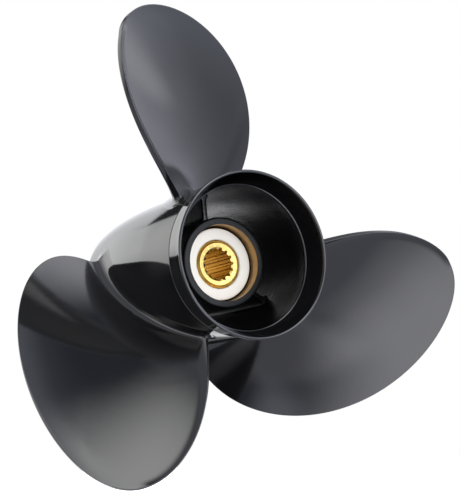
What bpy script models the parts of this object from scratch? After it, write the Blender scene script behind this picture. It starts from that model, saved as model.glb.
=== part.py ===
"""Three-blade through-hub-exhaust outboard propeller, right-hand rotation.

Frame: metres. +Y points forward along the shaft, the way the thrust pushes. +Z points up through
the middle of blade 1's root. The origin is on the shaft axis at the splined sleeve's forward face,
which seats on the shaft's thrust washer. Angles round the shaft run clockwise from +Z as seen from
behind (looking along +Y), so a point is (r sin a, y, r cos a).
"""
import math

import bmesh
import bpy
from mathutils import Matrix

# ---- driving dimensions (metres and degrees) -------------------------------------------------
DIAMETER = 0.38735          # 15 1/4 in across the blade tips
PITCH = 0.4572              # 18 in advance per turn
BLADE_COUNT = 3
SPLINE_TEETH = 15
SPLINE_MAJOR_R = 0.0127     # 1 in across the grooves
SPLINE_MINOR_R = 0.0112     # across the tooth tips
GAP = 0.0003                # clearance between neighbouring solids

# positions along the shaft
RIM_Y = -0.160              # aft lip of the diffuser ring
RING_JOINT_Y = -0.138       # step line where ring and barrel meet outside
CONE_END_Y = -0.144         # forward end of the ring's inner cone
TAPER_START_Y = -0.090      # the barrel is straight behind this
BARREL_FRONT_Y = 0.014
HUB_AFT_Y = -0.1165
HUB_FRONT_Y = -0.004
BUSH_AFT_Y = -0.1075
BUSH_FRONT_Y = -0.010
SLEEVE_AFT_Y = -0.1077
RIB_AFT_Y = -0.094
RIB_FRONT_Y = -0.008

# radii
RIM_R = 0.0611
LIP = 0.0024                # thickness of the ring's aft lip
BARREL_R = 0.0573
BARREL_FRONT_R = 0.0518
BARREL_WALL = 0.0036
TAPER_POWER = 3.3
CONE_END_R = 0.0530
SPIGOT_WALL = 0.0021        # barrel wall that reaches inside the ring
HUB_R = 0.0340
HUB_MOUTH_R = 0.0286        # bore at the aft end, ahead of the bush
BUSH_R = 0.0270
SLEEVE_R = 0.0180
SLEEVE_FACE_R = 0.0158      # flat part of the sleeve's aft end, inside its chamfer
SLEEVE_CHAMFER = 0.0016
SPLINE_LEAD_R = 0.0129      # mouth of the lead-in cone on the teeth

# ribs between hub and barrel
RIB_THICKNESS = 0.0046
RIB_ANGLE = -3.0            # of rib 1 from +Z

# blades: u runs from 0 at BLADE_ROOT_R to 1 at the tip
BLADE_ROOT_R = 0.0536
ROOT_Y = -0.0693            # pressure face at mid-chord of the root
RAKE = math.radians(21.1)   # aft lean of the blades
RAKE_EASING = 0.0093        # forward curl of the tip against the rake
HALF_WIDTH = (38.9, 36.1, -31.3)    # degrees: constant, linear and square terms in u
OUTLINE_POWER = 1.06
SKEW = (0.0, -1.65, -19.6)          # centre line in degrees: the same terms
EDGE_THICKNESS = (0.0043, 0.0016)   # across the trailing and leading edges
CROWN = (0.0075, 0.0017)            # extra thickness at mid-chord, root and tip
CAMBER = (0.0022, 0.0006)           # hollow of the pressure face at mid-chord, root and tip
CUP_DEPTH = 0.0013                  # aft curl of the trailing edge

# mesh fineness
ROUND = 72
FINE_ROUND = 60
SPAN_STEPS = 15
CHORD_STEPS = 18


def clear_scene():
    for obj in list(bpy.data.objects):
        bpy.data.objects.remove(obj, do_unlink=True)


def new_collection(name):
    collection = bpy.data.collections.new(name)
    bpy.context.scene.collection.children.link(collection)
    return collection


def new_material(name, colour, metallic, roughness):
    material = bpy.data.materials.new(name)
    material.use_nodes = True
    shader = material.node_tree.nodes["Principled BSDF"]
    shader.inputs["Base Color"].default_value = (*colour, 1.0)
    shader.inputs["Metallic"].default_value = metallic
    shader.inputs["Roughness"].default_value = roughness
    return material


def add_object(name, mesh, collection, material=None):
    obj = bpy.data.objects.new(name, mesh)
    collection.objects.link(obj)
    if material:
        mesh.materials.append(material)
    return obj


def turned(name, profile, steps, collection, material):
    """Solid of revolution about the shaft. The profile is a closed loop of (radius, y) points that
    runs aft along its outer side and forward along its bore."""
    mesh = bpy.data.meshes.new(name)
    count = len(profile)
    edges = [(i, (i + 1) % count) for i in range(count)]
    mesh.from_pydata([(radius, 0.0, y) for radius, y in profile], edges, [])
    obj = add_object(name, mesh, collection, material)
    obj.rotation_euler = (math.radians(-90), 0.0, 0.0)
    screw = obj.modifiers.new("turn", "SCREW")
    screw.axis = "Z"
    screw.angle = math.tau
    screw.steps = steps
    screw.render_steps = steps
    screw.use_merge_vertices = True
    screw.merge_threshold = 0.00001
    screw.use_smooth_shade = True
    return obj


def arc(radius, y, size, start, end, steps):
    """Points of a round edge: angle 0 points outwards, 90 forward, 180 to the shaft, 270 aft."""
    points = []
    for i in range(steps + 1):
        angle = math.radians(start + (end - start) * i / steps)
        points.append((radius + size * math.cos(angle), y + size * math.sin(angle)))
    return points


def barrel_radius(y):
    """Outside of the barrel: straight at the back, rounding in towards the front."""
    along = (y - TAPER_START_Y) / (BARREL_FRONT_Y - TAPER_START_Y)
    drop = max(along, 0.0) ** TAPER_POWER
    return BARREL_R - (BARREL_R - BARREL_FRONT_R) * drop


def barrel_bore(y):
    return barrel_radius(y) - BARREL_WALL


def make_barrel(collection, material):
    stations = [TAPER_START_Y + (BARREL_FRONT_Y - TAPER_START_Y) * f
                for f in (0.0, 0.35, 0.55, 0.70, 0.82, 0.92, 1.0)]
    spigot_r = CONE_END_R + SPIGOT_WALL
    profile = [(barrel_radius(y), y) for y in reversed(stations)]
    profile += [(BARREL_R, RING_JOINT_Y + GAP)]
    profile += [(spigot_r, RING_JOINT_Y + GAP), (spigot_r, CONE_END_Y + GAP)]
    profile += [(CONE_END_R, CONE_END_Y + GAP)]
    profile += [(barrel_bore(y), y) for y in stations]
    return turned("outer_barrel", profile, ROUND, collection, material)


def make_diffuser_ring(collection, material):
    """Flared ring pressed over the barrel's spigot, with a round aft lip."""
    lip = LIP / 2
    socket_r = CONE_END_R + SPIGOT_WALL + GAP
    profile = [(BARREL_R, RING_JOINT_Y), (BARREL_R + 0.0008, (RING_JOINT_Y + RIM_Y) / 2)]
    profile += arc(RIM_R - lip, RIM_Y + lip, lip, 0, -180, 6)
    profile += [(CONE_END_R, CONE_END_Y), (socket_r, CONE_END_Y), (socket_r, RING_JOINT_Y)]
    return turned("diffuser_ring", profile, ROUND, collection, material)


def make_inner_hub(collection, material):
    """Inner tube of the casting. The bore opens out ahead of the bush at both ends."""
    bore = BUSH_R + GAP
    edge = 0.0006
    profile = [(HUB_R - edge, HUB_FRONT_Y), (HUB_R, HUB_FRONT_Y - edge)]
    profile += [(HUB_R, HUB_AFT_Y + edge), (HUB_R - edge, HUB_AFT_Y), (HUB_MOUTH_R, HUB_AFT_Y)]
    profile += [(bore, BUSH_AFT_Y), (bore, BUSH_FRONT_Y), (HUB_MOUTH_R, HUB_FRONT_Y)]
    return turned("inner_hub", profile, FINE_ROUND, collection, material)


def make_bush(collection, material):
    """Moulded cushion, rounded at its open aft end."""
    edge = 0.0015
    bore = SLEEVE_R + GAP
    profile = [(BUSH_R - edge, BUSH_FRONT_Y), (BUSH_R, BUSH_FRONT_Y - edge)]
    profile += arc(BUSH_R - edge, BUSH_AFT_Y + edge, edge, 0, -90, 3)
    profile += arc(bore + edge, BUSH_AFT_Y + edge, edge, -90, -180, 3)
    profile += [(bore, BUSH_FRONT_Y)]
    return turned("cushion_bush", profile, FINE_ROUND, collection, material)


def spline_outline():
    """Hole outline: V-flanked grooves between flat-topped teeth, in the XZ plane."""
    pitch = 360.0 / SPLINE_TEETH
    tooth_half = 5.0
    groove_half = 3.2
    points = []
    for tooth in range(SPLINE_TEETH):
        centre = tooth * pitch
        for offset, radius in ((-tooth_half, SPLINE_MINOR_R), (tooth_half, SPLINE_MINOR_R),
                               (pitch / 2 - groove_half, SPLINE_MAJOR_R),
                               (pitch / 2 + groove_half, SPLINE_MAJOR_R)):
            angle = math.radians(centre + offset)
            points.append((radius * math.sin(angle), radius * math.cos(angle)))
    return points


def make_spline_cutter(collection):
    """Prism of the spline's hole outline, longer than the sleeve."""
    overrun = 0.002
    shape = bmesh.new()
    loop = [shape.verts.new((x, SLEEVE_AFT_Y - overrun, z)) for x, z in spline_outline()]
    face = shape.faces.new(loop)
    grown = bmesh.ops.extrude_face_region(shape, geom=[face])
    moved = [item for item in grown["geom"] if isinstance(item, bmesh.types.BMVert)]
    bmesh.ops.translate(shape, verts=moved, vec=(0.0, 2 * overrun - SLEEVE_AFT_Y, 0.0))
    bmesh.ops.recalc_face_normals(shape, faces=shape.faces)
    mesh = bpy.data.meshes.new("spline_cutter")
    shape.to_mesh(mesh)
    shape.free()
    cutter = add_object("spline_cutter", mesh, collection)
    cutter.hide_render = True
    cutter.display_type = "WIRE"
    return cutter


def make_sleeve(collection, cutters, material):
    """Brass drive sleeve: chamfered ends, a lead-in cone aft, splined through its whole length."""
    core = SPLINE_MINOR_R - 0.002
    edge = 0.001
    profile = [(SLEEVE_R - edge, 0.0), (SLEEVE_R, -edge)]
    profile += [(SLEEVE_R, SLEEVE_AFT_Y + SLEEVE_CHAMFER), (SLEEVE_FACE_R, SLEEVE_AFT_Y)]
    profile += [(SPLINE_LEAD_R, SLEEVE_AFT_Y), (core, SLEEVE_AFT_Y + SPLINE_LEAD_R - core)]
    profile += [(core, 0.0)]
    sleeve = turned("splined_sleeve", profile, FINE_ROUND, collection, material)
    cut = sleeve.modifiers.new("spline", "BOOLEAN")
    cut.operation = "DIFFERENCE"
    cut.solver = "EXACT"
    cut.object = make_spline_cutter(cutters)
    return sleeve


def make_rib(number, collection, material):
    """Flat radial web that carries the hub tube inside the barrel."""
    curve = bpy.data.curves.new(f"rib_{number}", "CURVE")
    curve.dimensions = "2D"
    curve.fill_mode = "BOTH"
    curve.extrude = RIB_THICKNESS / 2
    stations = [RIB_AFT_Y + (RIB_FRONT_Y - RIB_AFT_Y) * i / 5 for i in range(6)]
    outline = [(barrel_bore(y) - GAP, y) for y in stations]
    outline += [(HUB_R + GAP, RIB_FRONT_Y), (HUB_R + GAP, RIB_AFT_Y)]
    spline = curve.splines.new("POLY")
    spline.points.add(len(outline) - 1)
    for point, (radius, y) in zip(spline.points, outline):
        point.co = (radius, y, 0.0, 1.0)
    spline.use_cyclic_u = True
    obj = add_object(f"rib_{number}", curve, collection, material)
    angle = RIB_ANGLE + (number - 1) * 360.0 / BLADE_COUNT
    obj.rotation_euler = (0.0, math.radians(angle - 90.0), 0.0)
    return obj


def terms(values, u):
    constant, linear, square = values
    return constant + linear * u + square * u * u


def blend(pair, u):
    root, tip = pair
    return root + (tip - root) * u


def blade_lift(u, chord, back):
    """How far a point stands off the plain helicoid, square to it, towards the suction side."""
    middle = 1.0 - (2.0 * chord - 1.0) ** 2
    curl = CUP_DEPTH * (1.0 - chord) * min(chord * 20.0, 1.0)
    lift = blend(CAMBER, u) * middle + curl
    if back:
        lift += blend(EDGE_THICKNESS, chord) + blend(CROWN, u) * math.sin(math.pi * chord)
    return lift


def blade_point(span, chord, back):
    """Point of blade 1. span is 0 at the barrel and 1 at the tip, chord 0 at the trailing edge and
    1 at the leading edge; back is True on the forward (suction) side."""
    tip_r = DIAMETER / 2
    y = ROOT_Y
    for _ in range(12):
        foot = barrel_radius(y) + GAP
        radius = foot + (tip_r - foot) * span
        u = (radius - BLADE_ROOT_R) / (tip_r - BLADE_ROOT_R)
        close = math.sqrt(max(1.0 - max(u, 0.0) ** OUTLINE_POWER, 0.0))
        half = terms(HALF_WIDTH, u) * close
        angle = math.radians(terms(SKEW, u) + half * (2.0 * chord - 1.0))
        slope = PITCH / math.tau / radius
        square = 1.0 / math.sqrt(1.0 + slope * slope)
        lift = blade_lift(u, chord, back)
        y = ROOT_Y + PITCH / math.tau * angle - math.tan(RAKE) * (radius - BLADE_ROOT_R)
        y += RAKE_EASING * u * u + lift * square
    angle -= lift * slope * square / radius
    return (radius * math.sin(angle), y, radius * math.cos(angle))


def blade_mesh():
    """Loft of the blade from barrel to tip, closed at the root, both edges and the tip."""
    shape = bmesh.new()
    rows, tip = {}, {}
    for back in (False, True):
        rows[back] = []
        for i in range(SPAN_STEPS):
            span = math.sin(math.pi / 2 * i / SPAN_STEPS)
            row = [shape.verts.new(blade_point(span, j / CHORD_STEPS, back))
                   for j in range(CHORD_STEPS + 1)]
            rows[back].append(row)
        tip[back] = shape.verts.new(blade_point(1.0, 0.5, back))
        for low, high in zip(rows[back], rows[back][1:]):
            for j in range(CHORD_STEPS):
                shape.faces.new((low[j], low[j + 1], high[j + 1], high[j]))
        last = rows[back][-1]
        for j in range(CHORD_STEPS):
            shape.faces.new((last[j], last[j + 1], tip[back]))
    face, rear = rows[False], rows[True]
    for j in range(CHORD_STEPS):
        shape.faces.new((face[0][j], face[0][j + 1], rear[0][j + 1], rear[0][j]))
    for j in (0, CHORD_STEPS):
        for i in range(SPAN_STEPS - 1):
            shape.faces.new((face[i][j], face[i + 1][j], rear[i + 1][j], rear[i][j]))
        shape.faces.new((face[-1][j], tip[False], tip[True], rear[-1][j]))
    bmesh.ops.recalc_face_normals(shape, faces=shape.faces)
    mesh = bpy.data.meshes.new("blade")
    shape.to_mesh(mesh)
    shape.free()
    mesh.shade_smooth()
    mesh.set_sharp_from_angle(angle=math.radians(40))
    return mesh


def make_blades(collection, material):
    mesh = blade_mesh()
    mesh.materials.append(material)
    for number in range(1, BLADE_COUNT + 1):
        blade = add_object(f"blade_{number}", mesh, collection)
        turn = math.tau * (number - 1) / BLADE_COUNT
        blade.matrix_world = Matrix.Rotation(turn, 4, "Y")


def main():
    clear_scene()
    parts = new_collection("boat_propeller")
    cutters = new_collection("cutters")
    paint = new_material("black_paint", (0.020, 0.020, 0.022), 0.0, 0.22)
    brass = new_material("brass", (0.83, 0.58, 0.24), 1.0, 0.28)
    elastomer = new_material("cushion_elastomer", (0.82, 0.78, 0.72), 0.0, 0.55)
    make_barrel(parts, paint)
    make_diffuser_ring(parts, paint)
    make_inner_hub(parts, paint)
    for number in range(1, BLADE_COUNT + 1):
        make_rib(number, parts, paint)
    make_blades(parts, paint)
    make_bush(parts, elastomer)
    make_sleeve(parts, cutters, brass)


main()
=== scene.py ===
"""Looks of the boat propeller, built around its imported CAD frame.

Everything is in metres in the frame's own axes: +Y forward along the shaft, +Z up through
blade 1's root, origin at the drive sleeve's forward face. Angles round the shaft run clockwise
from +Z as seen from behind, so a point is (r sin a, y, r cos a).
"""
import math

import bmesh
import bpy
import numpy as np
from mathutils import Matrix, Vector


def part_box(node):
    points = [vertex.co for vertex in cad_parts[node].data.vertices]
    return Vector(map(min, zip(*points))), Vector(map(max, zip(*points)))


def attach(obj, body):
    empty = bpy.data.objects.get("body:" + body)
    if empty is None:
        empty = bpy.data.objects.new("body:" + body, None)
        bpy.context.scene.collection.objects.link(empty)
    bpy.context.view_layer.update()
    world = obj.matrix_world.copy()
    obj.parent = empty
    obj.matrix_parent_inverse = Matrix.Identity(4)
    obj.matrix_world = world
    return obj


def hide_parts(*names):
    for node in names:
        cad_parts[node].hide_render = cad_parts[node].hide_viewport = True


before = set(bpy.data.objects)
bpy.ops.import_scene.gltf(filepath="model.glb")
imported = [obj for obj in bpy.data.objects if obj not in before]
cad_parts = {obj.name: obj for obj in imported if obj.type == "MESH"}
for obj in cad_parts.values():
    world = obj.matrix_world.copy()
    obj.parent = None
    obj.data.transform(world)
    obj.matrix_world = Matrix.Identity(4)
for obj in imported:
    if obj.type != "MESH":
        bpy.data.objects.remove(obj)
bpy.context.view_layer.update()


# ---- places read from the frame -----------------------------------------------------------------
def outer_radius(node):
    """Largest distance of a CAD node's corners from the shaft axis."""
    return max(math.hypot(v.co.x, v.co.z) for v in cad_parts[node].data.vertices)


ring_low, ring_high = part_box("diffuser_ring")
barrel_low, barrel_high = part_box("outer_barrel")
hub_low, hub_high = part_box("inner_hub")
bush_low, bush_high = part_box("cushion_bush")
sleeve_low, sleeve_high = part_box("splined_sleeve")
rib_low, rib_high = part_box("rib_1")

RIM_Y = ring_low.y
JOINT_Y = ring_high.y
SPIGOT_Y = barrel_low.y
FRONT_Y = barrel_high.y
RIM_R = outer_radius("diffuser_ring")
BARREL_R = outer_radius("outer_barrel")
HUB_R = outer_radius("inner_hub")
BUSH_R = outer_radius("cushion_bush")
SLEEVE_R = outer_radius("splined_sleeve")
TIP_R = outer_radius("blade_1") - 0.0002    # keeps the curled edge inside the CAD's box

# ---- shape of the propeller, as the CAD has it --------------------------------------------------
BLADE_COUNT = 3
PITCH = 0.4572                  # advance in one turn
GAP = 0.0003                    # clearance between neighbouring solids
TAPER_START_Y = -0.090          # the barrel is straight behind this and tapers ahead of it
TAPER_POWER = 3.3
BARREL_FRONT_R = 0.0518
BARREL_WALL = 0.0036
CONE_END_R = 0.0530             # forward end of the ring's inner cone
SPIGOT_WALL = 0.0021            # the barrel's aft end, inside the ring
LIP = 0.0024                    # thickness of the ring's rim
HUB_MOUTH_R = 0.0286
SLEEVE_FACE_R = 0.0158          # flat aft end of the sleeve, inside its chamfer
SLEEVE_CHAMFER = 0.0016
SPLINE_LEAD_R = 0.0129          # mouth of the cone that leads into the teeth
SPLINE_TEETH = 15
SPLINE_MAJOR_R = 0.0127         # grooves
SPLINE_MINOR_R = 0.0112         # tooth tips
RIB_ANGLE = -3.0                # rib 1, degrees from +Z
RIB_THICKNESS = 0.0046

# A blade's height u is 0 at the root and 1 at the tip. Three values together are the constant,
# linear and square terms in u, in degrees round the shaft.
BLADE_ROOT_R = 0.0536
ROOT_Y = -0.0693
RAKE = math.radians(21.1)
RAKE_EASING = 0.0093
HALF_WIDTH = (38.9, 36.1, -31.3)
OUTLINE_POWER = 1.06
SKEW = (0.0, -1.65, -19.6)

# ---- finer shape than the CAD's -----------------------------------------------------------------
LEAD_DEPTH = 0.0007             # the lead-in cone, shallower than the CAD's 45 degrees

# (ahead of the rim, out from the barrel's radius): the ring's outside as it flares to its lip
FLARE = ((0.0180, 0.0001), (0.0140, 0.0003), (0.0110, 0.00045), (0.0090, 0.0006),
         (0.0075, 0.00075), (0.0060, 0.0010), (0.0048, 0.00135), (0.0036, 0.0018),
         (0.0026, 0.0021), (0.0018, 0.0024))

# degrees from a tooth's middle, and the hole's radius there
TOOTH_KNOTS = (0.0, 4.2, 5.2, 8.6, 9.5, 12.0)
TOOTH_RADII = (SPLINE_MINOR_R, SPLINE_MINOR_R, SPLINE_MINOR_R + 0.0001,
               SPLINE_MAJOR_R - 0.00012, SPLINE_MAJOR_R, SPLINE_MAJOR_R)

RIB_FLARE = 0.0038              # radius where a rib runs into the hub and the barrel
RIB_ROUND = 0.0016              # rounding of its aft edge
RIB_SUNK = 0.0008               # how far its ends reach into hub and barrel

EDGE_T = (0.0043, 0.0016)       # thickness at the trailing and leading edges
CROWN = (0.0075, 0.0017)        # extra thickness at mid-chord, root and tip
CAMBER = (0.0022, 0.0006)       # hollow of the pressure face at mid-chord, root and tip
CUP_DEPTH = 0.0013              # aft curl of the trailing edge
CUP_WIDTH = 0.0060
CUP_END = 1.22                  # where the curl stops short of the tip, radians round the outline
CUP_FADE = 0.12                 # radians of the outline over which it dies out
LEAD_SPREAD = 0.9               # radians past the tip over which it becomes a leading edge
CORNER = (0.0008, 0.0006)       # rounding in from the trailing and leading edges
EDGE_COLUMNS = 90               # from root to tip along one edge
SPINE_SPAN = 0.86               # the two halves of a blade meet on a spine that ends here
NEAR_EDGE = 0.0100              # the closest rows to the edge reach this far in
NEAR_STEPS = (0.0, 0.06, 0.14, 0.23, 0.33, 0.44, 0.56, 0.70, 0.85, 1.0)
FAR_STEPS = (0.04, 0.09, 0.15, 0.22, 0.30, 0.39, 0.49, 0.60, 0.72, 0.86, 1.0)
CORNER_STEPS = 5
LEAST_SINE_SQUARED = 0.15       # of the angle between an edge and the rows that leave it
DOUBLED = 0.0000015             # points closer than this are one
VANISHING = 0.0000005           # edges shorter than this are dropped
SETTLING_ROUNDS = 14            # a point's foot on the tapered barrel depends on the point's own y
FILLET_UP = (0.0050, 0.0120)    # height of the root fillet at the trailing and leading edges
FILLET_OUT = (0.0070, 0.0160)   # its reach over the barrel
FILLET_STEPS = 8
FILLET_EVENING = 12             # rounds that even out its direction along the root
FILLET_SUNK = (0.00001, 0.0015) # its edge and its hidden skirt, into the barrel's metal


# ---- mesh helpers -------------------------------------------------------------------------------
def add_mesh(name, points, faces, materials, sharp_degrees=35.0):
    """Smooth-shaded object, with creases only where faces meet more sharply than the angle."""
    mesh = bpy.data.meshes.new(name)
    mesh.from_pydata([tuple(map(float, p)) for p in points], [], [tuple(f) for f in faces])
    for material in materials:
        mesh.materials.append(material)
    obj = bpy.data.objects.new(name, mesh)
    bpy.context.scene.collection.objects.link(obj)
    mesh.shade_smooth()
    mesh.set_sharp_from_angle(angle=math.radians(sharp_degrees))
    mesh.validate()
    mesh.update()
    return obj


def face_outwards(obj):
    shape = bmesh.new()
    shape.from_mesh(obj.data)
    bmesh.ops.recalc_face_normals(shape, faces=shape.faces)
    shape.to_mesh(obj.data)
    shape.free()


def loft(name, rows, materials, sharp_degrees=35.0, ring=False):
    """Closed solid from loops of equal length; ring joins the last loop to the first."""
    count = len(rows[0])
    points = [p for row in rows for p in row]
    faces = []
    for i in range(len(rows) if ring else len(rows) - 1):
        low, high = i * count, ((i + 1) % len(rows)) * count
        for j in range(count):
            k = (j + 1) % count
            faces.append((low + j, low + k, high + k, high + j))
    if not ring:
        faces.append(tuple(range(count - 1, -1, -1)))
        faces.append(tuple(range((len(rows) - 1) * count, len(rows) * count)))
    obj = add_mesh(name, points, faces, materials, sharp_degrees)
    face_outwards(obj)
    return obj


def circle(radius, y, steps):
    """Loop round the shaft; the radius is one number or one for each step."""
    angles = np.arange(steps) * math.tau / steps
    radius = np.broadcast_to(radius, angles.shape)
    return np.stack([radius * np.sin(angles), np.full(steps, y), radius * np.cos(angles)], 1)


def turned(name, profile, materials, steps=216):
    """Solid of revolution; the profile is a closed loop of (radius, y)."""
    return loft(name, [circle(r, y, steps) for r, y in profile], materials, ring=True)


def arc(radius, y, size, start, end, steps=6):
    """Round edge as (radius, y) points: angle 0 points outwards, 90 forward, 270 aft."""
    angles = [math.radians(start + (end - start) * i / steps) for i in range(steps + 1)]
    return [(radius + size * math.cos(a), y + size * math.sin(a)) for a in angles]


def finish_piece(obj, body, node):
    """Puts a visible piece in the place of its CAD node."""
    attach(obj, body)
    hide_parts(node)
    return obj


# ---- material helpers ---------------------------------------------------------------------------
class Nodes:
    """Short way to write a node tree."""

    def __init__(self, name):
        self.material = bpy.data.materials.new(name)
        self.material.use_nodes = True
        self.tree = self.material.node_tree
        self.shader = self.tree.nodes["Principled BSDF"]

    def add(self, kind, inputs=(), **settings):
        node = self.tree.nodes.new(kind)
        for key, value in settings.items():
            setattr(node, key, value)
        for key, value in dict(inputs).items():
            self.put(node.inputs[key], value)
        return node

    def put(self, socket, value):
        if isinstance(value, bpy.types.NodeSocket):
            self.tree.links.new(value, socket)
        else:
            socket.default_value = value

    def set(self, **values):
        """Principled inputs by name: base_color is "Base Color", ior is "IOR"."""
        for key, value in values.items():
            title = key.replace("_", " ").title().replace("Ior", "IOR")
            self.put(self.shader.inputs[title], value)

    def place(self):
        """Position on the object, in metres."""
        return self.add("ShaderNodeTexCoord").outputs["Object"]

    def math(self, operation, a, b=0.0):
        return self.add("ShaderNodeMath", {0: a, 1: b}, operation=operation).outputs[0]

    def noise(self, vector, scale, detail=3.0, roughness=0.5):
        node = self.add("ShaderNodeTexNoise", {"Vector": vector, "Scale": scale,
                                               "Detail": detail, "Roughness": roughness})
        return node.outputs["Fac"]

    def stretch(self, vector, scale):
        """A small scale along an axis draws the pattern out along it."""
        return self.add("ShaderNodeVectorMath", {0: vector, 1: scale},
                        operation="MULTIPLY").outputs[0]

    def ramp(self, value, low, high, out_low=0.0, out_high=1.0):
        """Straight-line map of low..high, clamped."""
        return self.add("ShaderNodeMapRange", {"Value": value, "From Min": low, "From Max": high,
                                               "To Min": out_low, "To Max": out_high}).outputs[0]

    def mix(self, factor, a, b):
        node = self.add("ShaderNodeMix", {0: factor, 6: (*a, 1.0) if isinstance(a, tuple) else a,
                                          7: (*b, 1.0) if isinstance(b, tuple) else b},
                        data_type="RGBA")
        return node.outputs[2]

    def bump(self, height, distance):
        return self.add("ShaderNodeBump", {"Height": height, "Distance": distance,
                                           "Strength": 1.0}).outputs[0]

    def radius(self):
        """Distance from the shaft axis."""
        parts = self.add("ShaderNodeSeparateXYZ", {0: self.place()}).outputs
        squares = [self.math("MULTIPLY", parts[i], parts[i]) for i in (0, 2)]
        return self.math("SQRT", self.math("ADD", *squares))

    def rings(self, scale):
        """Noise that changes only with the distance from the shaft axis."""
        across = self.add("ShaderNodeCombineXYZ", {0: self.radius()}).outputs[0]
        return self.noise(across, scale, detail=2.0)


def paint_material():
    """Gloss black enamel on cast aluminium."""
    n = Nodes("gloss_black_enamel")
    place = n.place()
    cloud = n.noise(place, scale=14.0, detail=4.0)
    dust = n.noise(place, scale=900.0, detail=2.0)
    orange_peel = n.noise(place, scale=160.0, detail=2.0)
    haze = n.math("ADD", cloud, n.math("MULTIPLY", dust, 0.35))
    n.set(base_color=n.mix(cloud, (0.005, 0.005, 0.0055), (0.009, 0.009, 0.010)),
          roughness=n.ramp(haze, 0.4, 1.0, 0.08, 0.12),
          ior=1.60, normal=n.bump(orange_peel, 0.00002))
    return n.material


# Painted shade: the passages are made duller towards one side, standing in for the shade that
# falls there: its direction, and the distances along it, in metres, between which the gloss falls.
SHADED_SIDE = (0.75, 0.0, -0.66)
SHADE_REACH = (0.012, 0.042)


def cast_skin_material(name, smooth, rough, ior):
    """Thin enamel over the rougher as-cast skin of the exhaust passages."""
    n = Nodes(name)
    place = n.place()
    grain = n.noise(place, scale=420.0, detail=4.0, roughness=0.6)
    lumps = n.noise(place, scale=55.0)
    # painted shade: the gloss falls away towards the shaded side of the passages
    towards = n.add("ShaderNodeVectorMath", {0: place, 1: SHADED_SIDE},
                    operation="DOT_PRODUCT").outputs["Value"]
    n.set(base_color=n.mix(lumps, (0.003, 0.003, 0.0035), (0.006, 0.006, 0.006)),
          roughness=n.ramp(grain, 0.3, 0.7, smooth, rough), ior=ior,
          specular_ior_level=n.ramp(towards, *SHADE_REACH, 0.5, 0.08),
          normal=n.bump(n.math("ADD", grain, lumps), 0.00022))
    return n.material


def brass_material():
    """Turned brass with fine tool marks."""
    n = Nodes("machined_brass")
    tool_marks = n.rings(scale=4200.0)
    tarnish = n.noise(n.place(), scale=130.0, detail=4.0)
    n.set(base_color=n.mix(tarnish, (0.54, 0.375, 0.11), (0.61, 0.43, 0.145)), metallic=1.0,
          roughness=n.ramp(tarnish, 0.35, 0.65, 0.17, 0.26), normal=n.bump(tool_marks, 0.000006))
    return n.material


def dull_brass_material(name, dark, light):
    """Older brass skin, scored and stained lengthwise."""
    n = Nodes(name)
    scores = n.noise(n.stretch(n.place(), (1.0, 0.04, 1.0)), scale=260.0, detail=2.0)
    n.set(base_color=n.mix(n.ramp(scores, 0.35, 0.65), dark, light), metallic=1.0,
          roughness=n.ramp(scores, 0.35, 0.65, 0.28, 0.20))
    return n.material


def elastomer_material():
    """Off-white moulded cushion compound with faint flow rings and specks."""
    n = Nodes("cushion_compound")
    place = n.place()
    flow = n.rings(scale=900.0)
    blotch = n.noise(place, scale=160.0, detail=4.0)
    specks = n.ramp(n.noise(place, scale=2200.0, detail=2.0), 0.70, 0.80)
    body = n.mix(blotch, (0.66, 0.635, 0.555), (0.73, 0.705, 0.63))
    n.set(base_color=n.mix(n.math("MULTIPLY", specks, 0.25), body, (0.55, 0.48, 0.38)),
          roughness=n.ramp(blotch, 0.3, 0.7, 0.42, 0.60),
          normal=n.bump(n.math("ADD", flow, n.math("MULTIPLY", specks, 0.4)), 0.00003))
    return n.material


def bare_bore_material():
    """Chromate-yellow bare aluminium of the machined hub bore."""
    n = Nodes("chromated_bore")
    place = n.place()
    turning = n.noise(n.stretch(place, (0.05, 1.0, 0.05)), scale=4200.0, detail=2.0)
    stain = n.noise(place, scale=210.0, detail=4.0)
    n.set(base_color=n.mix(stain, (0.34, 0.21, 0.09), (0.55, 0.37, 0.18)), metallic=0.85,
          roughness=n.ramp(stain, 0.3, 0.7, 0.34, 0.50), normal=n.bump(turning, 0.00004))
    return n.material


paint = paint_material()
passage = cast_skin_material("enamel_on_cast_passage", smooth=0.17, rough=0.25, ior=1.50)
hub_skin = cast_skin_material("enamel_on_hub_tube", smooth=0.36, rough=0.50, ior=1.33)
brass = brass_material()
brass_chamfer = dull_brass_material("tarnished_brass", (0.56, 0.37, 0.085), (0.68, 0.46, 0.12))
brass_bore = dull_brass_material("broached_brass", (0.64, 0.46, 0.18), (0.90, 0.70, 0.32))
elastomer = elastomer_material()
bare_bore = bare_bore_material()


def give_faces(obj, slot, chosen):
    """Uses another of the piece's materials on the faces whose (radius, y) centre is chosen."""
    for face in obj.data.polygons:
        x, y, z = face.center
        if chosen(math.hypot(x, z), y):
            face.material_index = slot


# ---- barrel, ring, hub, bush --------------------------------------------------------------------
def barrel_radius(y):
    """Outside of the barrel: straight, then tapering ever faster towards the front."""
    along = (np.asarray(y, float) - TAPER_START_Y) / (FRONT_Y - TAPER_START_Y)
    return BARREL_R - (BARREL_R - BARREL_FRONT_R) * np.clip(along, 0.0, 1.0) ** TAPER_POWER


def barrel_bore(y):
    return barrel_radius(y) - BARREL_WALL


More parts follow.
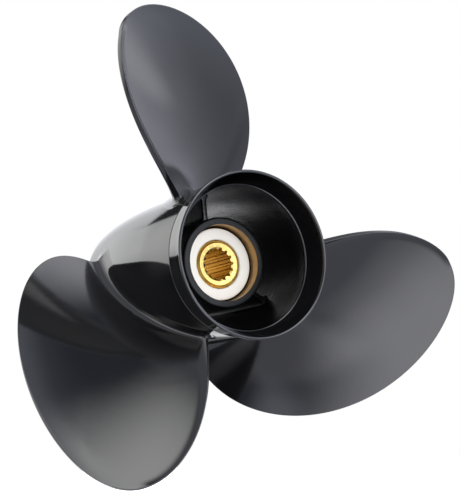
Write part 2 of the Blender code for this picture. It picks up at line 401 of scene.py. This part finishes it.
def make_barrel():
    edge, shoulder, mouth = 0.0009, 0.0004, 0.0006      # roundings: front, step, aft end
    step_y, bore_y = JOINT_Y + GAP, JOINT_Y + 0.006     # the full bore begins at bore_y
    count = 16
    front = float(barrel_radius(FRONT_Y))
    stations = [TAPER_START_Y + (FRONT_Y - TAPER_START_Y) * math.sin(math.pi / 2 * i / count)
                for i in range(count)]
    spigot = CONE_END_R + SPIGOT_WALL
    profile = arc(front - edge, FRONT_Y - edge, edge, 90, 0)
    profile += [(float(barrel_radius(y)), y) for y in reversed(stations) if y < FRONT_Y - edge]
    profile += arc(BARREL_R - shoulder, step_y + shoulder, shoulder, 0, -90, 3)
    profile += [(spigot, step_y), (spigot, SPIGOT_Y)]
    profile += arc(CONE_END_R + mouth, SPIGOT_Y + mouth, mouth, -90, -180, 5)
    profile += [(CONE_END_R + 0.0003, SPIGOT_Y + 0.003), (barrel_bore(bore_y), bore_y)]
    profile += [(float(barrel_bore(y)), y) for y in stations if y < FRONT_Y - edge]
    profile += arc(front - BARREL_WALL + edge, FRONT_Y - edge, edge, 180, 90)
    obj = turned("casting_barrel", profile, [paint, passage], 288)
    give_faces(obj, 1, lambda r, y: r < barrel_bore(y) + 0.0006 and y > SPIGOT_Y + 0.001)
    return finish_piece(obj, "propeller", "outer_barrel")


def make_ring():
    lip, edge = LIP / 2, 0.0004
    socket = CONE_END_R + SPIGOT_WALL + GAP
    profile = [(BARREL_R - 0.0005, JOINT_Y), (BARREL_R - 0.0001, JOINT_Y - edge)]
    profile += [(BARREL_R + out, RIM_Y + ahead) for ahead, out in FLARE]
    profile += arc(RIM_R - lip, RIM_Y + lip, lip, 0, -180, 12)
    profile += [(RIM_R - LIP - 0.0001, RIM_Y + 0.0018)]
    profile += [(CONE_END_R + edge, SPIGOT_Y - GAP - 0.0006)]
    profile += arc(CONE_END_R + edge, SPIGOT_Y - GAP - edge, edge, 180, 90, 4)
    profile += [(socket, SPIGOT_Y - GAP), (socket, JOINT_Y)]
    obj = turned("diffuser_flare", profile, [paint], 288)
    return finish_piece(obj, "propeller", "diffuser_ring")


def make_hub():
    bore = BUSH_R + GAP
    edge, aft_edge, mouth = 0.0009, 0.0020, 0.0004      # roundings
    profile = arc(HUB_R - edge, hub_high.y - edge, edge, 90, 0)
    profile += arc(HUB_R - aft_edge, hub_low.y + aft_edge, aft_edge, 0, -90, 10)
    profile += arc(HUB_MOUTH_R + mouth, hub_low.y + mouth, mouth, -90, -160, 4)
    profile += [(HUB_MOUTH_R, bush_low.y - 0.0020), (HUB_MOUTH_R - 0.0003, bush_low.y + 0.0012),
                (bore, bush_low.y + 0.0042)]
    profile += [(bore, bush_high.y), (HUB_MOUTH_R, hub_high.y - mouth),
                (HUB_MOUTH_R + mouth, hub_high.y)]
    obj = turned("casting_hub_tube", profile, [hub_skin, bare_bore])
    # Painted shade: the tan bore ends 1 mm past the bush's aft face, and the crevice round the
    # bush beyond it keeps the black enamel to stand in for its shade.
    give_faces(obj, 1, lambda r, y: r < HUB_MOUTH_R + 0.0003
               and hub_low.y + mouth < y < bush_low.y + 0.001)
    return finish_piece(obj, "propeller", "inner_hub")


def make_bush():
    aft_edge, edge = 0.0010, 0.0006                     # roundings
    bore = SLEEVE_R + GAP
    profile = arc(BUSH_R - edge, bush_high.y - edge, edge, 90, 0, 4)
    profile += arc(BUSH_R - aft_edge, bush_low.y + aft_edge, aft_edge, 0, -90, 8)
    profile += arc(bore + aft_edge, bush_low.y + aft_edge, aft_edge, -90, -180, 8)
    profile += arc(bore + edge, bush_high.y - edge, edge, 180, 90, 4)
    obj = turned("cushion_moulding", profile, [elastomer])
    return finish_piece(obj, "drive_hub", "cushion_bush")


def spline_radius(steps):
    """Hole radius round the sleeve: flat-topped teeth between V-flanked grooves."""
    pitch = 360.0 / SPLINE_TEETH
    within = np.arange(steps) * 360.0 / steps % pitch
    return np.interp(np.minimum(within, pitch - within), TOOTH_KNOTS, TOOTH_RADII)


def make_sleeve():
    steps = SPLINE_TEETH * 32           # the teeth fall on the same steps all round
    edge = 0.0010
    hole = spline_radius(steps)
    aft, front = sleeve_low.y, sleeve_high.y
    rows = [circle(r, y, steps) for r, y in
            ((SLEEVE_R - edge, front), (SLEEVE_R, front - edge), (SLEEVE_R, aft + SLEEVE_CHAMFER),
             (SLEEVE_FACE_R, aft))]
    for depth in np.linspace(0.0, LEAD_DEPTH, 7):
        mouth = SPLINE_LEAD_R - (SPLINE_LEAD_R - SPLINE_MINOR_R) * depth / LEAD_DEPTH
        rows.append(circle(np.maximum(hole, mouth), aft + depth, steps))
    rows += [circle(hole, aft + (front - aft) * f, steps) for f in (0.25, 0.5, 0.75, 1.0)]
    obj = loft("brass_drive_sleeve", rows, [brass, brass_chamfer, brass_bore], 25.0, True)
    give_faces(obj, 1, lambda r, y: r > SLEEVE_FACE_R)
    give_faces(obj, 2, lambda r, y: r < SLEEVE_FACE_R and aft + LEAD_DEPTH < y < front - 0.0002)
    return finish_piece(obj, "drive_hub", "splined_sleeve")


# ---- ribs ---------------------------------------------------------------------------------------
def rib_outline(y, inset):
    """Cross-section of a rib as (sideways, radius), flaring into the hub and the barrel."""
    steps = 8
    half = RIB_THICKNESS / 2 - inset
    widest = half + RIB_FLARE + 0.0004
    low, high = HUB_R, float(barrel_bore(y))
    side = [(widest, low - RIB_SUNK)]
    for i in range(steps + 1):
        a = math.pi / 2 * i / steps
        side.append((half + RIB_FLARE * (1 - math.sin(a)), low + RIB_FLARE * (1 - math.cos(a))))
    for i in range(steps + 1):
        a = math.pi / 2 * (1 - i / steps)
        side.append((half + RIB_FLARE * (1 - math.sin(a)), high - RIB_FLARE * (1 - math.cos(a))))
    side.append((widest, high + RIB_SUNK))
    return side + [(-s, r) for s, r in reversed(side)]


def make_rib(number):
    turn = math.radians(RIB_ANGLE + (number - 1) * 360.0 / BLADE_COUNT)
    sin, cos = math.sin(turn), math.cos(turn)
    round_steps, length_steps = 6, 14
    rows = []                           # (y, how much thinner the rib is there)
    for i in range(round_steps + 1):
        a = math.pi / 2 * (round_steps - i) / round_steps
        rows.append((rib_low.y + RIB_ROUND * (1 - math.sin(a)), RIB_ROUND * (1 - math.cos(a))))
    rows += [(rib_low.y + (rib_high.y - rib_low.y) * i / length_steps, 0.0)
             for i in range(1, length_steps)]
    rows += [(rib_high.y, 0.0)]
    loops = [[(radius * sin + sideways * cos, y, radius * cos - sideways * sin)
              for sideways, radius in rib_outline(y, inset)] for y, inset in rows]
    obj = loft(f"casting_rib_{number}", loops, [passage], 50.0)
    return finish_piece(obj, "propeller", f"rib_{number}")


# ---- blades -------------------------------------------------------------------------------------
def terms(values, u):
    """Value at height u of a constant, linear and square term."""
    constant, linear, square = values
    return constant + linear * u + square * u * u


def blend(pair, t):
    """From the first of the pair at t = 0 to the second at 1."""
    return pair[0] + (pair[1] - pair[0]) * t


def surface_y(angle, radius):
    """Pressure surface before camber and cup: a raked right-hand helicoid."""
    u = (radius - BLADE_ROOT_R) / (TIP_R - BLADE_ROOT_R)
    return (ROOT_Y + PITCH / math.tau * angle - math.tan(RAKE) * (radius - BLADE_ROOT_R)
            + RAKE_EASING * u * u)


def on_blade(angle, span, lift):
    """Angle, y and radius of points lifted off the pressure surface towards the back."""
    y = np.full(np.shape(angle), ROOT_Y)
    for _ in range(SETTLING_ROUNDS):
        foot = barrel_radius(y)
        radius = foot + (TIP_R - foot) * span
        slope = PITCH / math.tau / radius
        along = 1.0 / np.sqrt(1.0 + slope * slope)
        y = surface_y(angle, radius) + lift * along
    return angle - lift * slope * along / radius, y, radius


def edge_angle(span, side):
    """Angle of the blade's outline: side -1 the trailing edge, +1 the leading edge, 0 between."""
    y = np.full(np.shape(span), ROOT_Y)
    for _ in range(SETTLING_ROUNDS):
        foot = barrel_radius(y)
        radius = foot + (TIP_R - foot) * span
        u = (radius - BLADE_ROOT_R) / (TIP_R - BLADE_ROOT_R)
        close = np.sqrt(np.clip(1.0 - np.clip(u, 0.0, 1.0) ** OUTLINE_POWER, 0.0, 1.0))
        angle = np.radians(terms(SKEW, u) + terms(HALF_WIDTH, u) * close * side)
        y = surface_y(angle, radius)
    return angle


def place_points(angle, y, radius):
    return np.stack([radius * np.sin(angle), y, radius * np.cos(angle)], -1)


def bend(start, corner, end, t):
    """Curve from start to end that is drawn towards the corner between them."""
    return (1 - t) ** 2 * start + 2 * t * (1 - t) * corner + t * t * end


def smooth(t):
    """0 to 1 with level ends."""
    t = np.clip(t, 0.0, 1.0)
    return t * t * (3.0 - 2.0 * t)


def blade_height(radius):
    """The height u, kept between 0 and 1."""
    return np.clip((radius - BLADE_ROOT_R) / (TIP_R - BLADE_ROOT_R), 0.0, 1.0)


def blade_rows():
    """Blade 1 as a grid of points, with the feet of its root and how far along the chord each is.

    Columns run round the outline from the trailing edge's root over the tip to the leading edge's
    root. Rows run from the spine over the pressure face, round the edge and back to the spine on
    the suction side. Names ending in _b are on the outline, those ending in _s on the spine.
    """
    count = 2 * EDGE_COLUMNS + 1
    turn = np.linspace(0.0, math.pi, count)
    side = np.sign(np.arange(count) - EDGE_COLUMNS).astype(float)
    lead = smooth((turn - math.pi / 2) / LEAD_SPREAD)
    edge_t, inset = blend(EDGE_T, lead), blend(CORNER, lead)
    sweep = CUP_DEPTH * (1.0 - lead)
    cup = CUP_DEPTH * smooth((CUP_END - turn) / CUP_FADE)
    height = TIP_R - BARREL_R

    def raise_root(span, chord):
        """Starts the blade's wall above its root fillet."""
        return span + blend(FILLET_UP, chord) / height * (1.0 - span) ** 3

    span_b = raise_root(np.sin(turn), 0.5 + 0.5 * side)
    span_s = raise_root(np.sin(turn) * SPINE_SPAN, 0.5)
    middle = np.zeros(count)
    angle_b, angle_s = edge_angle(span_b, side), edge_angle(span_s, middle)
    foot_b, foot_s = edge_angle(middle, side), edge_angle(middle, middle)

    at_b = place_points(*on_blade(angle_b, span_b, 0.0))
    at_s = place_points(*on_blade(angle_s, span_s, 0.0))
    radius_b, radius_s = (np.hypot(p[:, 0], p[:, 2]) for p in (at_b, at_s))
    way = at_s - at_b
    length = np.linalg.norm(way, axis=1)
    edge_run = np.gradient(at_b, axis=0)
    edge_run /= np.linalg.norm(edge_run, axis=1)[:, None]
    slant = np.sum(way / length[:, None] * edge_run, 1)
    square = np.sqrt(np.clip(1.0 - slant ** 2, LEAST_SINE_SQUARED, 1.0))

    def to_middle(values, share):
        """Eases from an edge's own value to the mean of both edges on the spine."""
        return values + (0.5 * (values[0] + values[-1]) - values) * smooth(share)

    def face_lift(share):
        """Hollow of the pressure face and the curl of its trailing edge."""
        u = blade_height(blend((radius_b, radius_s), share))
        inward = share * square * length
        curl = 1.0 - np.clip(1.0 - inward / CUP_WIDTH, 0.0, 1.0) ** 2
        hollow = blend(CAMBER, u) * (1.0 - (1.0 - share) ** 2)
        return hollow + to_middle(sweep, share) - cup * (1.0 - curl)

    def back_lift(share):
        """The suction side: the face's lift, the edge's thickness and the crown."""
        u = blade_height(blend((radius_b, radius_s), share))
        crown = blend(CROWN, u) * np.sin(math.pi / 2 * share)
        return face_lift(share) + to_middle(edge_t, share) + crown

    near = inset + (NEAR_EDGE - inset) * np.array(NEAR_STEPS)[:, None]
    near = near / (square * length)
    far = near[-1] + (1.0 - near[-1]) * np.array(FAR_STEPS)[:, None]
    shares = np.vstack([near, far])
    rise = np.minimum(inset, edge_t / 2)
    zero = np.zeros(count)
    rows = [(share, face_lift(share)) for share in shares[::-1]]
    bottom, top = face_lift(zero), back_lift(zero)
    start, corner_face, corner_back = shares[0], face_lift(shares[0]), back_lift(shares[0])
    ways = [(k + 1) / CORNER_STEPS for k in range(CORNER_STEPS)]
    rows += [((1 - t) ** 2 * start, bend(corner_face, bottom, bottom + rise, t)) for t in ways]
    rows += [(zero, blend((bottom + rise, top - rise), f)) for f in (0.5, 1.0)]
    rows += [(t * t * start, bend(top - rise, top, corner_back, t)) for t in ways]
    rows += [(share, back_lift(share)) for share in shares[1:]]

    grid, feet, chords = [], [], []
    for share, lift in rows:
        grid.append(place_points(*on_blade(angle_b + (angle_s - angle_b) * share,
                                           span_b + (span_s - span_b) * share, lift)))
        angle, y, _ = on_blade(foot_b + (foot_s - foot_b) * share, zero, lift)
        feet.append(np.stack([angle, y], 1))
        chords.append(0.5 + 0.5 * side * (1.0 - share))
    return np.array(grid), np.array(feet), np.array(chords)


def root_loop(grid):
    """Root column of the trailing edge, then the leading edge's one back again."""
    return np.concatenate([grid[:, 0], grid[::-1, -1]])


def fillet_rows(wall, foot, chord):
    """Rows of the root fillet from the blade's wall down to the barrel, and on into its metal."""
    angle = np.arctan2(wall[:, 0], wall[:, 2])
    wall_y = wall[:, 1]
    wall_h = np.hypot(wall[:, 0], wall[:, 2]) - barrel_radius(wall_y)
    scale = barrel_radius(foot[:, 1])
    flat = np.stack([foot[:, 0] * scale, foot[:, 1]], 1)
    run = np.roll(flat, -2, 0) - np.roll(flat, 2, 0)
    for _ in range(FILLET_EVENING):
        run = 0.5 * run + 0.25 * (np.roll(run, 1, 0) + np.roll(run, -1, 0))
    run /= np.linalg.norm(run, axis=1)[:, None]
    out = np.stack([run[:, 1], -run[:, 0]], 1)
    area = np.sum(flat[:, 0] * np.roll(flat[:, 1], -1) - flat[:, 1] * np.roll(flat[:, 0], -1))
    out *= math.copysign(1.0, area)
    reach = blend(FILLET_OUT, chord)[:, None]
    end = flat + out * reach
    rows = []
    for k in range(1, FILLET_STEPS + 1):
        t = k / FILLET_STEPS
        y = bend(wall_y, foot[:, 1], end[:, 1], t)
        turn = bend(angle, foot[:, 0], end[:, 0] / scale, t)
        height = (1 - t) ** 2 * wall_h - FILLET_SUNK[0] * t * t
        rows.append(place_points(turn, y, barrel_radius(y) + height))
    rows.append(place_points(turn, y, barrel_radius(y) - FILLET_SUNK[1]))
    return rows


def blade_mesh():
    """Points and faces of blade 1 with its root fillet, closed all round."""
    grid, feet, chords = blade_rows()
    height, width = grid.shape[:2]
    points = [tuple(p) for p in grid.reshape(-1, 3)]
    faces = [(i * width + j, i * width + j + 1, (i + 1) * width + j + 1, (i + 1) * width + j)
             for i in range(height - 1) for j in range(width - 1)]
    wall = root_loop(grid)
    count = len(wall)
    column = list(range(0, height * width, width))
    ring = column + [i + width - 1 for i in reversed(column)]
    for row in fillet_rows(wall, root_loop(feet), root_loop(chords)):
        start = len(points)
        points += [tuple(p) for p in row]
        fresh = list(range(start, start + count))
        faces += [(ring[i], ring[(i + 1) % count], fresh[(i + 1) % count], fresh[i])
                  for i in range(count)]
        ring = fresh
    half = count // 2                   # from here: the bottom, hidden in the barrel's metal
    faces += [(ring[i], ring[i + 1], ring[half - 2 - i], ring[half - 1 - i])
              for i in range(half // 2)]
    faces += [(ring[half + i], ring[half + i + 1], ring[count - 2 - i], ring[count - 1 - i])
              for i in range(half // 2)]
    faces += [(ring[0], ring[half - 1], ring[half], ring[count - 1])]
    return points, faces


def weld(mesh):
    """Joins doubled points and turns the faces outwards."""
    shape = bmesh.new()
    shape.from_mesh(mesh)
    bmesh.ops.remove_doubles(shape, verts=shape.verts, dist=DOUBLED)
    bmesh.ops.dissolve_degenerate(shape, edges=shape.edges, dist=VANISHING)
    bmesh.ops.recalc_face_normals(shape, faces=shape.faces)
    shape.to_mesh(mesh)
    shape.free()


def make_blades():
    points, faces = blade_mesh()
    for number in range(1, BLADE_COUNT + 1):
        name = f"casting_blade_{number}"
        turn = Matrix.Rotation(math.tau * (number - 1) / BLADE_COUNT, 3, "Y")
        placed = [turn @ Vector(p) for p in points]
        obj = add_mesh(name, placed, faces, [paint], 38.0)
        weld(obj.data)
        finish_piece(obj, "propeller", f"blade_{number}")


# ---- camera, floor and light --------------------------------------------------------------------
VIEW_AZIMUTH = math.radians(-30.36)
VIEW_ELEVATION = math.radians(-8.47)
VIEW_ROLL = math.radians(-2.04)
VIEW_AIM = Vector((-0.0152, -0.1517, 0.0034))
VIEW_DISTANCE = 1.0059
VIEW_SENSOR = 36.0              # both in millimetres
VIEW_LENS = 102.27

FLOOR_SIZE = 30.0
FLOOR_CELLS = 24
FLOOR_CLEARANCE = 0.0010        # clear of the blades however far they turn


def make_camera():
    data = bpy.data.cameras.new("camera")
    data.sensor_width = VIEW_SENSOR
    data.lens = VIEW_LENS
    data.clip_start, data.clip_end = 0.01, 100.0
    camera = bpy.data.objects.new("camera", data)
    bpy.context.scene.collection.objects.link(camera)
    flat = math.cos(VIEW_ELEVATION)
    back = Vector((math.sin(VIEW_AZIMUTH) * flat, -math.cos(VIEW_AZIMUTH) * flat,
                   math.sin(VIEW_ELEVATION)))
    level = Vector((math.cos(VIEW_AZIMUTH), math.sin(VIEW_AZIMUTH), 0.0))
    upright = back.cross(level)
    right = level * math.cos(VIEW_ROLL) + upright * math.sin(VIEW_ROLL)
    up = upright * math.cos(VIEW_ROLL) - level * math.sin(VIEW_ROLL)
    turn = Matrix((right, up, back)).transposed().to_4x4()
    camera.matrix_world = Matrix.Translation(VIEW_AIM + back * VIEW_DISTANCE) @ turn
    bpy.context.scene.camera = camera


def make_floor():
    """White and self-lit, seen by the camera and by nothing else."""
    low = -TIP_R - FLOOR_CLEARANCE
    row = FLOOR_CELLS + 1
    points = [(FLOOR_SIZE * (i / FLOOR_CELLS - 0.5), FLOOR_SIZE * (j / FLOOR_CELLS - 0.5), low)
              for i in range(row) for j in range(row)]
    corners = [i * row + j for i in range(FLOOR_CELLS) for j in range(FLOOR_CELLS)]
    faces = [(c, c + row, c + row + 1, c + 1) for c in corners]
    n = Nodes("white_floor")
    n.set(base_color=(0.9, 0.9, 0.9, 1.0), roughness=0.9)
    away = n.add("ShaderNodeVectorMath", {0: n.place()}, operation="LENGTH").outputs["Value"]
    n.set(emission_color=(1.0, 1.0, 1.0, 1.0),
          emission_strength=n.ramp(away, 0.4, 1.5, 0.92, 1.0))
    floor = add_mesh("floor", points, faces, [n.material])
    floor.visible_glossy = False
    floor.visible_diffuse = False


# Soft light boxes round the object: azimuth and elevation of the middle (seen from the object,
# azimuth 0 is aft and 90 to starboard), half width and half height, edge softness, tilt, all in
# degrees, and colour.
SOFTBOXES = {
    "front_high": ((11, 39), (24, 6), 18, -55, (4.2, 4.2, 4.1)),
    "front_low": ((-1, -12), (20, 29), 14, 0, (3.0, 3.0, 3.2)),
    "front_left": ((-27, 14), (2, 22), 7, -26, (1.1, 1.1, 1.3)),
    "left_card": ((-62, 6), (14, 16), 8, 0, (1.0, 0.95, 0.85)),
    "right_high": ((88, 27), (17, 18), 11, 32, (0.6, 0.6, 0.7)),
    "right_top": ((98, 41), (28, 12), 11, 32, (1.3, 1.3, 1.35)),
    "right_strip": ((85, 15), (9, 2), 4, -26, (0.65, 0.65, 0.65)),
    "right_middle": ((45, 8), (28, 15), 24, 70, (1.1, 1.3, 1.6)),
    "right_wall": ((65, 15), (55, 32), 3, -16, (0.50, 0.50, 0.55)),
    "left_wall": ((-40, -26), (15, 17), 4, 44, (0.65, 0.65, 0.72)),
    "left_high": ((-96, 68), (43, 22), 8, -52, (0.55, 0.55, 0.60)),
    "left_back": ((-130, 17), (13, 25), 30, 41, (3.2, 3.2, 3.1)),
    "left_side": ((-84, 10), (14, 8), 4, 0, (2.2, 2.2, 2.2)),
    "backdrop": ((162, 1), (31, 36), 7, -32, (1.2, 1.2, 1.2)),
    "under_backdrop": ((172, -34), (20, 8), 5, 0, (1.4, 1.4, 1.4)),
    "overhead": ((173, 57), (14, 6), 3, 0, (6.0, 6.0, 6.0)),
    "under_left": ((-132, -61), (16, 9), 5, 0, (4.0, 4.0, 4.1)),
    "table": ((-5, -76), (66, 29), 6, 2, (0.62, 0.62, 0.70)),
}
# Dark flags in front of them, in the same terms, with the share of the light that they take.
FLAGS = {
    "behind_blade_root": ((-174.5, 38.5), (7.5, 7.5), 1, 45, 0.97),
    "under_barrel": ((154, -21), (9, 7), 2, 0, 0.8),
}
ROOM = (0.16, 0.17, 0.22)        # light from everywhere else
LEAST_AHEAD = 0.02              # cosine from a box's middle; beyond it the box isn't there


def direction(azimuth, elevation):
    """Unit vector from the object, angles in degrees."""
    a, e = math.radians(azimuth), math.radians(elevation)
    return Vector((math.sin(a) * math.cos(e), -math.cos(a) * math.cos(e), math.sin(e)))


class WorldNodes(Nodes):
    """Node tree of the world, started empty."""

    def __init__(self, world):
        world.use_nodes = True
        self.tree = world.node_tree
        for node in list(self.tree.nodes):
            self.tree.nodes.remove(node)

    def dot(self, vector, fixed):
        return self.add("ShaderNodeVectorMath", {0: vector, 1: tuple(fixed)},
                        operation="DOT_PRODUCT").outputs["Value"]

    def fade(self, value, full, none):
        """1 up to full and 0 from none on."""
        node = self.add("ShaderNodeMapRange", {"Value": value, "From Min": none, "From Max": full},
                        interpolation_type="SMOOTHSTEP")
        return node.outputs[0]

    def softbox(self, looking, middle, half, softness, tilt):
        """1 inside a rectangle seen in one direction, fading to 0 over its soft edge."""
        front = direction(*middle)
        level = Vector((0.0, 0.0, 1.0)).cross(front).normalized()
        turn = Matrix.Rotation(math.radians(tilt), 3, front)
        across = turn @ level
        upward = front.cross(across)
        ahead = self.dot(looking, front)
        depth = self.math("MAXIMUM", ahead, LEAST_AHEAD)
        inside = self.math("GREATER_THAN", ahead, LEAST_AHEAD)
        for axis, size in ((across, half[0]), (upward, half[1])):
            off = self.math("ABSOLUTE", self.math("DIVIDE", self.dot(looking, axis), depth))
            full = math.tan(math.radians(max(size - softness, 0.5)))
            none = math.tan(math.radians(min(size + softness, 85.0)))
            inside = self.math("MULTIPLY", inside, self.fade(off, full, none))
        return inside


def make_world():
    """Soft boxes for reflections and light; the camera itself sees plain white."""
    world = bpy.data.worlds.new("studio")
    bpy.context.scene.world = world
    n = WorldNodes(world)
    looking = n.add("ShaderNodeTexCoord").outputs["Generated"]
    total = None
    for middle, half, softness, tilt, colour in SOFTBOXES.values():
        share = n.softbox(looking, middle, half, softness, tilt)
        glow = n.add("ShaderNodeVectorMath", {0: colour, "Scale": share},
                     operation="SCALE").outputs[0]
        total = n.add("ShaderNodeVectorMath", {0: glow, 1: ROOM if total is None else total},
                      operation="ADD").outputs[0]
    for middle, half, softness, tilt, depth in FLAGS.values():
        shade = n.softbox(looking, middle, half, softness, tilt)
        left = n.math("SUBTRACT", 1.0, n.math("MULTIPLY", shade, depth))
        total = n.add("ShaderNodeVectorMath", {0: total, "Scale": left},
                      operation="SCALE").outputs[0]
    room = n.add("ShaderNodeBackground", {"Color": total})
    seen = n.add("ShaderNodeBackground", {"Color": (1.0, 1.0, 1.0, 1.0)})
    rays = n.add("ShaderNodeLightPath")
    split = n.add("ShaderNodeMixShader", {0: rays.outputs["Is Camera Ray"], 1: room.outputs[0],
                                          2: seen.outputs[0]})
    n.add("ShaderNodeOutputWorld", {"Surface": split.outputs[0]})
    world.cycles.sampling_method = "MANUAL"
    world.cycles.sample_map_resolution = 512
    bpy.context.scene.view_settings.view_transform = "Standard"


make_camera()
make_floor()
make_world()
make_barrel()
make_ring()
make_hub()
make_bush()
make_sleeve()
for number in range(1, BLADE_COUNT + 1):
    make_rib(number)
make_blades()
